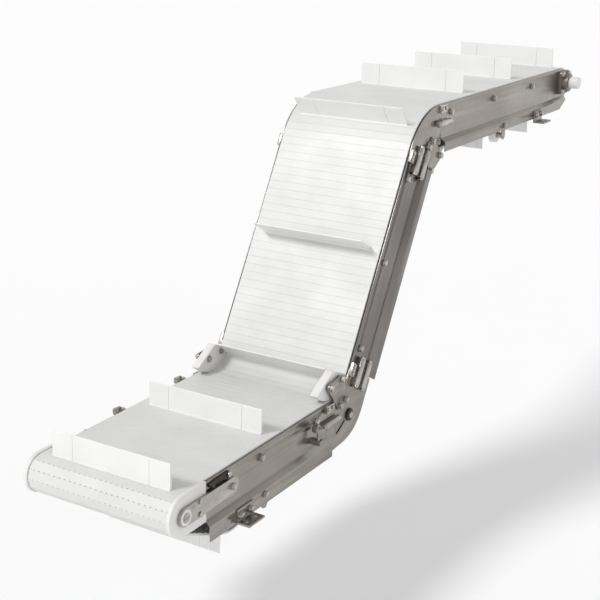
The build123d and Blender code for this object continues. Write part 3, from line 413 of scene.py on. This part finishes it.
@dataclass(frozen=True)
class Run:
    """A straight run of the conveyor, from its start on the belt's top surface."""

    x: float
    z: float
    slope: float

    def point(self, along: float, height: float) -> tuple[float, float]:
        """Return the (x, z) of a place in the run."""
        c, s = cos(radians(self.slope)), sin(radians(self.slope))
        return self.x + along * c - height * s, self.z + along * s + height * c


@dataclass
class Route:
    """The closed line of the belt's hinge pins, in millimetres."""

    pitch: float = 25.4
    thickness: float = 8.7
    teeth: int = 12
    carry_rows: int = 113
    incline_angle: float = 60.0
    infeed_length: float = 789.0
    incline_length: float = 902.0
    knee_radius: float = 98.0
    bend_radius: float = 220.0
    return_shoe_radius: float = 150.0
    return_depth: float = 145.4
    support: tuple[float, float] = (-250.0, 166.0)
    # A wheel is its place and radius, a sag its place, radius and depth.  Places on the infeed count from
    # its start, and places on the discharge run count back from the drive shaft.
    discharge_wheel: tuple[float, float] = (585.4, 27.0)
    infeed_wheel: tuple[float, float] = (353.0, 21.0)
    discharge_sag: tuple[float, float, float] = (333.4, 900.0, 150.0)
    infeed_sag: tuple[float, float, float] = (228.0, 110.0, 197.0)
    knee_wheel_radius: float = 55.0
    halvings: int = 40
    pieces: list[tuple] = field(default_factory=list)

    def __post_init__(self) -> None:
        """Lay the runs out and find the slack that closes the loop on whole rows."""
        self.hinge = self.thickness / 2
        self.pitch_radius = self.pitch / (2 * sin(pi / self.teeth))
        self.axis_depth = self.hinge + self.pitch_radius
        self.infeed = Run(*self.support, 0.0)
        self.incline = Run(*self.infeed.point(self.infeed_length, 0), self.incline_angle)
        self.discharge = Run(*self.incline.point(self.incline_length, 0), 0.0)
        depth = self.infeed_sag[2]
        self.rows = round(self.length(self.closed(depth)) / self.pitch)
        shallow, deep = depth - 2 * self.pitch, depth + 2 * self.pitch
        for _ in range(self.halvings):
            middle = (shallow + deep) / 2
            if self.length(self.closed(middle)) < self.rows * self.pitch:
                shallow = middle
            else:
                deep = middle
        self.pieces = self.closed(middle)
        self.total = self.length(self.pieces)

    @staticmethod
    def length(pieces: list[tuple]) -> float:
        """Return the length of a chain of runs and arcs."""
        return sum(piece[-1] for piece in pieces)

    def guides(self, sag_depth: float) -> list[Guide]:
        """Return the circles in belt order.

        Args:
            sag_depth: how far the slack hangs below the infeed's top surface.

        Returns:
            The guides, from the tail sprockets round to the slack.
        """
        half = radians(self.incline_angle / 2)
        slack, outside = self.hinge, True
        shoe = self.infeed.point(self.infeed_length - self.knee_radius * tan(half), self.knee_radius)
        bend = self.discharge.point(self.bend_radius * tan(half), -self.bend_radius)
        before = (self.infeed_length - self.knee_radius * tan(half)
                  + (self.knee_radius + slack) * 2 * half + self.incline_length
                  - (self.knee_radius + self.bend_radius) * tan(half) + (self.bend_radius - slack) * 2 * half)
        drive_along = self.carry_rows * self.pitch - before + self.bend_radius * tan(half)
        sag_setback, radius, depth = self.discharge_sag
        wheel_setback, wheel = self.discharge_wheel
        shoe_height = self.return_depth + self.return_shoe_radius
        knee_depth = self.return_depth - self.thickness - self.knee_wheel_radius
        low_along, low_wheel = self.infeed_wheel
        sag_along, sag_radius, _ = self.infeed_sag
        return [
            Guide(*self.infeed.point(0, -self.axis_depth), self.pitch_radius),
            Guide(*shoe, self.knee_radius + slack, outside),
            Guide(*bend, self.bend_radius - slack),
            Guide(*self.discharge.point(drive_along, -self.axis_depth), self.pitch_radius),
            Guide(*self.discharge.point(drive_along - sag_setback, radius - depth), radius),
            Guide(*self.discharge.point(drive_along - wheel_setback, -self.return_depth - wheel),
                  wheel + slack, outside),
            Guide(*self.discharge.point(shoe_height * tan(half), -shoe_height),
                  self.return_shoe_radius + slack, outside),
            Guide(*self.infeed.point(self.infeed_length + knee_depth * tan(half), -knee_depth),
                  self.knee_wheel_radius + slack),
            Guide(*self.infeed.point(low_along, -self.return_depth - low_wheel), low_wheel + slack, outside),
            Guide(*self.infeed.point(sag_along, sag_radius - sag_depth), sag_radius),
        ]

    def closed(self, sag_depth: float) -> list[tuple]:
        """Return the runs and arcs as (guide or None, angle in, angle out, start, length)."""
        guides = self.guides(sag_depth)
        following = guides[1:] + guides[:1]
        headings = [atan2(b.z - a.z, b.x - a.x) - asin((a.turn - b.turn) / hypot(b.x - a.x, b.z - a.z))
                    for a, b in zip(guides, following)]
        pieces = []
        for first, second, angle, after in zip(guides, following, headings, headings[1:] + headings[:1]):
            start, stop = first.touch(angle), second.touch(angle)
            pieces.append((None, angle, angle, start, hypot(stop[0] - start[0], stop[1] - start[1])))
            turn = ((after - angle) if second.outer else (angle - after)) % (2 * pi)
            pieces.append((second, angle, angle + (turn if second.outer else -turn), stop,
                           turn * second.radius))
        return pieces

    def place(self, distance: float) -> tuple[float, float, float]:
        """Return the hinge line's x, z and heading.

        Args:
            distance: millimetres along the hinge line from the tail shaft's top.

        Returns:
            x and z in millimetres and the heading in radians.
        """
        distance %= self.total
        for guide, angle_in, angle_out, start, length in self.pieces:
            if distance <= length:
                break
            distance -= length
        if guide is None:
            return start[0] + distance * cos(angle_in), start[1] + distance * sin(angle_in), angle_in
        angle = angle_in + (angle_out - angle_in) * distance / length
        return *guide.touch(angle), angle

    def starts(self) -> list[float]:
        """Return the distance at which each piece starts, and the whole length last."""
        found = [0.0]
        for piece in self.pieces:
            found.append(found[-1] + piece[-1])
        return found


@dataclass
class Belt:
    """The modular belt: rows of flat plates on hinge barrels, and the moulded flights that stand on it."""

    route: Route
    width: float = 450.0
    plate_depth: float = 6.2
    row_gap: float = 0.5
    barrel_radius: float = 4.1
    barrel_count: int = 26
    barrel_gap: float = 4.0
    barrel_sides: int = 8
    edge_radius: float = 0.35
    flight_every: int = 16
    flight_width: float = 385.0
    flight_height: float = 72.0
    foot_half: float = 7.5
    foot_depth: float = 0.8
    root_half: float = 3.4
    root_height: float = 6.5
    fillet: tuple[float, float] = (1.2, 2.6)
    tip_half: float = 1.9
    tip_break: tuple[float, float] = (0.9, 1.2)
    seams: tuple[float, float] = (0.17, 0.82)
    seam_gap: float = 0.9
    rib_count: int = 32
    rib_width: float = 2.2
    rib_proud: float = 1.3
    rib_clear: float = 12.0
    rib_lift: float = 1.0
    row_smooth: float = 24.0
    flight_smooth: float = 30.0
    stretches: ClassVar[dict[str, tuple[int, int]]] = {
        "belt_infeed": (0, 2), "belt_incline": (2, 3), "belt_discharge": (3, 5), "belt_drive_wrap": (5, 6),
        "belt_return_discharge": (6, 11), "belt_return_incline": (11, 13), "belt_return_infeed": (13, 16),
        "belt_return_sag": (16, 19), "belt_tail_wrap": (19, 20)}

    def _row(self) -> bpy.types.Mesh:
        """Return one row about its middle: a plate with broken edges and its share of hinge barrels."""
        shape = bmesh.new()
        pitch, top = self.route.pitch, self.route.hinge
        plate = Matrix.Translation((0, 0, top - self.plate_depth / 2)) @ Matrix.Diagonal(
            (pitch - self.row_gap, self.width, self.plate_depth, 1.0))
        bmesh.ops.create_cube(shape, size=1.0, matrix=plate)
        bmesh.ops.bevel(shape, geom=list(shape.edges), offset=self.edge_radius, offset_type="OFFSET",
                        segments=1, profile=0.5, affect="EDGES", clamp_overlap=True, material=-1)
        step = self.width / self.barrel_count
        across = Matrix.Rotation(pi / 2, 4, "X")
        half_side = Matrix.Rotation(pi / self.barrel_sides, 4, "Z")
        for i in range(self.barrel_count):
            y = (i + 0.5) * step - self.width / 2
            spot = Matrix.Translation((-pitch / 2, y, 0)) @ across @ half_side
            bmesh.ops.create_cone(shape, cap_ends=True, segments=self.barrel_sides,
                                  radius1=self.barrel_radius, radius2=self.barrel_radius,
                                  depth=step - self.barrel_gap, matrix=spot)
        bmesh.ops.scale(shape, vec=(MM, MM, MM), verts=shape.verts)
        mesh = bpy.data.meshes.new("row_pattern")
        shape.to_mesh(mesh)
        shape.free()
        return mesh

    def _flight(self) -> bpy.types.Mesh:
        """Return one flight on the belt's top at the origin: three plates, a rounded foot and front ribs."""
        shape = bmesh.new()
        edges = [-0.5, self.seams[0] - 0.5, self.seams[1] - 0.5, 0.5]
        front = [(self.foot_half, 0.0), (self.foot_half, self.foot_depth),
                 (self.root_half + self.fillet[0], self.fillet[1]), (self.root_half, self.root_height),
                 (self.tip_half, self.flight_height - self.tip_break[1]),
                 (self.tip_half - self.tip_break[0], self.flight_height)]
        outline = front + [(-x, z) for x, z in reversed(front)]
        for low, high in zip(edges, edges[1:]):
            start = low * self.flight_width + self.seam_gap / 2
            stop = high * self.flight_width - self.seam_gap / 2
            ring = [shape.verts.new((x, start, z)) for x, z in outline]
            end = bmesh.ops.extrude_face_region(shape, geom=[shape.faces.new(ring)])["geom"]
            moved = [part for part in end if isinstance(part, bmesh.types.BMVert)]
            bmesh.ops.translate(shape, verts=moved, vec=(0, stop - start, 0))
        lean = atan2(self.root_half - self.tip_half, self.flight_height)
        for i in range(self.rib_count):
            y = ((i + 0.5) / self.rib_count - 0.5) * self.flight_width
            if min(abs(y - (share - 0.5) * self.flight_width) for share in self.seams) < 2 * self.rib_width:
                continue
            middle = (self.root_half + self.tip_half) / 2
            size = (2 * self.rib_proud, self.rib_width, self.flight_height - self.rib_clear, 1.0)
            spot = (Matrix.Translation((middle, y, self.flight_height / 2 + self.rib_lift))
                    @ Matrix.Rotation(-lean, 4, "Y") @ Matrix.Diagonal(size))
            bmesh.ops.create_cube(shape, size=1.0, matrix=spot)
        bmesh.ops.recalc_face_normals(shape, faces=shape.faces)
        bmesh.ops.scale(shape, vec=(MM, MM, MM), verts=shape.verts)
        mesh = bpy.data.meshes.new("flight_pattern")
        shape.to_mesh(mesh)
        shape.free()
        return mesh

    def _frame_at(self, distance: float, lift: float) -> Matrix:
        """Return the place of a pattern on the belt.

        Args:
            distance: millimetres along the hinge line to the pattern's middle.
            lift: height above the hinge line, in millimetres.

        Returns:
            The matrix, in metres, whose X follows the chord between the row's two hinges.
        """
        x1, z1, _ = self.route.place(distance - self.route.pitch / 2)
        x2, z2, _ = self.route.place(distance + self.route.pitch / 2)
        angle = atan2(z2 - z1, x2 - x1)
        middle = Vector(((x1 + x2) / 2, 0, (z1 + z2) / 2)) + lift * Vector((-sin(angle), 0, cos(angle)))
        return Matrix.Translation(middle * MM) @ Matrix.Rotation(-angle, 4, "Y")

    @staticmethod
    def _stamp(shape: bmesh.types.BMesh, pattern: bpy.types.Mesh, where: Matrix) -> None:
        """Add a copy of a pattern at a place."""
        first = len(shape.verts)
        shape.from_mesh(pattern)
        shape.verts.ensure_lookup_table()
        bmesh.ops.transform(shape, matrix=where, verts=shape.verts[first:])

    def build(self) -> None:
        """Build the belt's rows, stretch by stretch, and both groups of flights."""
        row, flight = self._row(), self._flight()
        # The flights take the lighter copy of the belt's acetal, which paints light on them.
        plastic, flight_plastic_painted_light = BELT_PLASTIC.build(), FLIGHT_PLASTIC_PAINTED_LIGHT.build()
        starts, pitch = self.route.starts(), self.route.pitch
        middles = [pitch * (i + 0.5) for i in range(self.route.rows)]
        for node, (first, last) in self.stretches.items():
            shape = bmesh.new()
            for distance in middles:
                if starts[first] <= distance < starts[last]:
                    self._stamp(shape, row, self._frame_at(distance, 0.0))
            Piece.make(f"{node}_rows", shape, [plastic], "frame", "belt_plastic", [node],
                       self.row_smooth)
        places = middles[::self.flight_every]
        turning_back = starts[self.stretches["belt_drive_wrap"][0]]
        for node, wanted in (("flights_carry", True), ("flights_return", False)):
            shape = bmesh.new()
            for distance in places:
                if (distance < turning_back) == wanted:
                    self._stamp(shape, flight, self._frame_at(distance, self.route.hinge))
            Piece.make(f"{node}_moulded", shape, [flight_plastic_painted_light], "frame", "belt_plastic", [node],
                       self.flight_smooth)
        for pattern in (row, flight):
            bpy.data.meshes.remove(pattern)


# ------------------------------------------------------------------ frame, shafts and hardware
@dataclass
class Hardware:
    """Every node that keeps its CAD shape: its edges are broken and it gets its finish, with painted shade on
    the incline sheets and painted shade or a painted highlight on the sheets' folded bands.
    """

    sheet_break: float = 0.35
    plastic_break: float = 1.2
    bar_break: float = 0.6
    casting_break: float = 2.2
    bolt_break: float = 0.7
    casting_segments: int = 3
    sharpest: float = 33.0
    flat_within: float = 0.5
    weld_distance: float = 0.002
    fold_lean: tuple[float, float] = (0.35, 0.85)
    fold_area: float = 0.004

    def _body_of(self, node: str) -> str:
        """Return the body that a node rides on."""
        bodies = frame["record"]["behaviour"]["bodies"]
        return next(body for body, members in bodies.items() if node in members)

    def _slot_of(self, node: str) -> str:
        """Return a node's material slot."""
        return next(part["material_slot"] for part in frame["record"]["subparts"] if part["node"] == node)

    def _finish(self, node: str, finishes: list[bpy.types.Material], width: float,
                segments: int = 2) -> None:
        """Replace a node with a copy of it whose edges are broken.

        Args:
            node: the CAD node.
            finishes: its finish, and a second one for its folded band where it has one, which is painted
                shade on the level sheets and a painted highlight on the incline sheets.
            width: the edge break in millimetres.
            segments: how many faces round each edge.
        """
        shape = bmesh.new()
        shape.from_mesh(frame["nodes"][node].data)
        bmesh.ops.remove_doubles(shape, verts=shape.verts, dist=self.weld_distance * MM)
        bmesh.ops.dissolve_limit(shape, angle_limit=radians(self.flat_within), verts=shape.verts,
                                 edges=shape.edges, use_dissolve_boundaries=False, delimit={"NORMAL"})
        edges = [edge for edge in shape.edges
                 if edge.is_manifold and edge.calc_face_angle(0.0) > radians(self.sharpest)]
        bmesh.ops.bevel(shape, geom=edges, offset=width * MM, offset_type="OFFSET", segments=segments,
                        profile=0.5, affect="EDGES", clamp_overlap=True, material=-1)
        # The folded band's slanted faces take the second finish, which paints shade on the level sheets and a
        # highlight on the incline sheets.
        if len(finishes) > 1:
            for face in shape.faces:
                slanted = self.fold_lean[0] < abs(face.normal.y) < self.fold_lean[1]
                if slanted and face.calc_area() > self.fold_area:
                    face.material_index = 1
        Piece.make(f"{node}_finished", shape, finishes, self._body_of(node), self._slot_of(node), [node])

    def build(self) -> None:
        """Finish every node that the belt doesn't cover."""
        level, incline, bar = LEVEL_SHEET.build(), INCLINE_SHEET_PAINTED_SHADE.build(), BAR_STEEL.build()
        slide, casting, dark = SLIDE_PLASTIC.build(), CAST_STEEL.build(), DARK_STEEL.build()
        painted_shade_fold, painted_highlight_fold = LEVEL_FOLD_PAINTED_SHADE.build(), INCLINE_FOLD_PAINTED_HIGHLIGHT.build()
        for node in sorted(frame["nodes"]):
            slot = self._slot_of(node)
            if slot == "belt_plastic":
                continue
            if slot == "stainless_sheet":
                # The incline sheets get a darker copy of the steel as painted shade and a painted highlight
                # on their folded band; the level sheets get painted shade on theirs.
                sheet = [incline, painted_highlight_fold] if "incline" in node else [level, painted_shade_fold]
                self._finish(node, sheet, self.sheet_break)
            elif slot == "white_uhmw":
                self._finish(node, [slide], self.plastic_break)
            elif slot == "bearing_casting":
                self._finish(node, [casting], self.casting_break, self.casting_segments)
            elif slot == "dark_steel":
                self._finish(node, [dark], self.bar_break)
            else:
                small = "bolts" in node or "screws" in node or "fixings" in node
                self._finish(node, [bar], self.bolt_break if small else self.bar_break)


# ------------------------------------------------------------------ studio
@dataclass
class Studio:
    """A wide pale floor, soft light and the camera."""

    camera_place: tuple[float, float, float] = (-2.451, -1.912, 1.567)
    yaw: float = 31.47
    pitch: float = -17.96
    roll: float = 0.78
    focal_length: float = 75.08
    sensor: float = 36.0
    floor_drop: float = 0.35
    floor_half: float = 160.0
    floor_centre: float = 0.8
    floor_tones: tuple[float, float] = (0.93, 0.95)
    floor_roughness: float = 0.9
    floor_cloud: float = 0.6
    view_depth: float = 2.5
    exposure: float = 0.22
    sun_power: float = 1.35
    sun_spread: float = 14.0
    sun_heading: tuple[float, float, float] = (0.62, -0.36, -0.70)
    horizon: tuple[float, float, float] = (1.0, 1.0, 0.995)
    zenith: tuple[float, float, float] = (0.48, 0.48, 0.48)
    sky_limits: tuple[float, float] = (0.12, 0.75)

    def _sun(self) -> None:
        """Add the soft key light, which comes over the left side and the tail."""
        light = bpy.data.lights.new("key", "SUN")
        light.energy, light.angle = self.sun_power, radians(self.sun_spread)
        lamp = bpy.data.objects.new("key", light)
        lamp.rotation_euler = Vector(self.sun_heading).to_track_quat("-Z", "Y").to_euler()
        bpy.context.scene.collection.objects.link(lamp)

    def _air(self) -> None:
        """Add the surrounding light, which is white at the horizon and greyer overhead."""
        world = bpy.data.worlds.new("studio_air")
        nodes = Nodes(world)
        direction = nodes.add("ShaderNodeTexCoord").outputs["Generated"]
        height = nodes.add("ShaderNodeSeparateXYZ", None, {"Vector": direction}).outputs["Z"]
        overhead = nodes.ramp(Value(nodes, height), *self.sky_limits)
        light = nodes.add("ShaderNodeBackground", None,
                          {"Color": nodes.mix(overhead, self.horizon, self.zenith), "Strength": 1.0})
        nodes.add("ShaderNodeOutputWorld", None, {"Surface": light.outputs[0]})
        bpy.context.scene.world = world

    def _floor(self) -> None:
        """Add the pale floor under the hanging belt."""
        shape = bmesh.new()
        bmesh.ops.create_grid(shape, x_segments=1, y_segments=1, size=self.floor_half)
        bmesh.ops.translate(shape, verts=shape.verts,
                            vec=(self.floor_centre, 0, CAD_BOX[0][2] - self.floor_drop))
        mesh = bpy.data.meshes.new("studio_floor")
        shape.to_mesh(mesh)
        shape.free()
        nodes = Nodes.material("pale_floor")
        cloud = nodes.noise(nodes.place(), self.floor_cloud, 2.0)
        darker, lighter = ((tone, tone, tone) for tone in self.floor_tones)
        mesh.materials.append(nodes.surface(Base_Color=nodes.mix(cloud, darker, lighter),
                                            Roughness=self.floor_roughness))
        floor = bpy.data.objects.new("studio_floor", mesh)
        bpy.context.scene.collection.objects.link(floor)

    def _camera(self) -> None:
        """Add the camera."""
        lens = bpy.data.cameras.new("camera")
        lens.lens, lens.sensor_width = self.focal_length, self.sensor
        lens.clip_end = self.view_depth * self.floor_half
        camera = bpy.data.objects.new("camera", lens)
        yaw, pitch = radians(self.yaw), radians(self.pitch)
        forward = Vector((cos(yaw) * cos(pitch), sin(yaw) * cos(pitch), sin(pitch)))
        aim = forward.to_track_quat("-Z", "Y").to_matrix().to_4x4()
        camera.matrix_world = Matrix.Translation(self.camera_place) @ aim @ Matrix.Rotation(
            radians(self.roll), 4, "Z")
        bpy.context.scene.collection.objects.link(camera)
        bpy.context.scene.camera = camera

    def build(self) -> None:
        """Add the floor, the light and the camera."""
        self._floor()
        self._sun()
        self._air()
        bpy.context.scene.view_settings.view_transform = "Standard"
        bpy.context.scene.view_settings.exposure = self.exposure
        self._camera()


def main() -> None:
    """Build the belt, the hardware and the studio in order."""
    logging.basicConfig(level=logging.INFO, format="%(name)s: %(message)s")
    Belt(Route()).build()
    Hardware().build()
    Studio().build()


if __name__ == "__main__":
    main()
